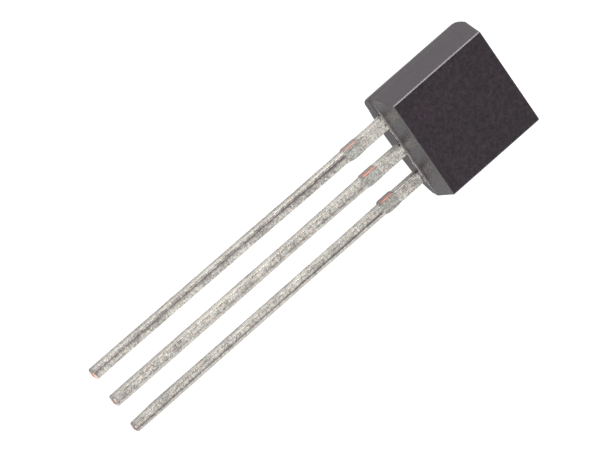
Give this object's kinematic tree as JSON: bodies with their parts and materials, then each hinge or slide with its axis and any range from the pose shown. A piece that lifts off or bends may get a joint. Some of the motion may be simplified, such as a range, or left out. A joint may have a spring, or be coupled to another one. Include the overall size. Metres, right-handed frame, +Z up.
{
  "type": "to-92 transistor",
  "caption": "Small moulded transistor with a flat front and a half-round back, on straight parallel leads for through-hole boards.",
  "frame": {"origin": "on the floor, below the middle of the box around the whole part as it lies at rest with its flat front up", "axes": "+Z up, X along the part with the leads pointing to -X and the moulded body at +X, Y across the leads with the left lead at +Y; the part leans 7.58 degrees about Y, from the lead tips up to the lower edge of its round back"},
  "size_m": [0.0188, 0.0046, 0.0041],
  "materials": {
    "moulding_compound": "matte",
    "tinned_lead_frame": "satin",
    "silicon": "polished",
    "bond_layer": "matte",
    "gold_wire": "gloss"
  },
  "bodies": {
    "root": {"moulded_body": "moulding_compound", "left_lead": "tinned_lead_frame", "centre_lead": "tinned_lead_frame", "right_lead": "tinned_lead_frame", "die": "silicon", "die_attach": "bond_layer", "left_wire": "gold_wire", "right_wire": "gold_wire"}
  },
  "joints": []
}
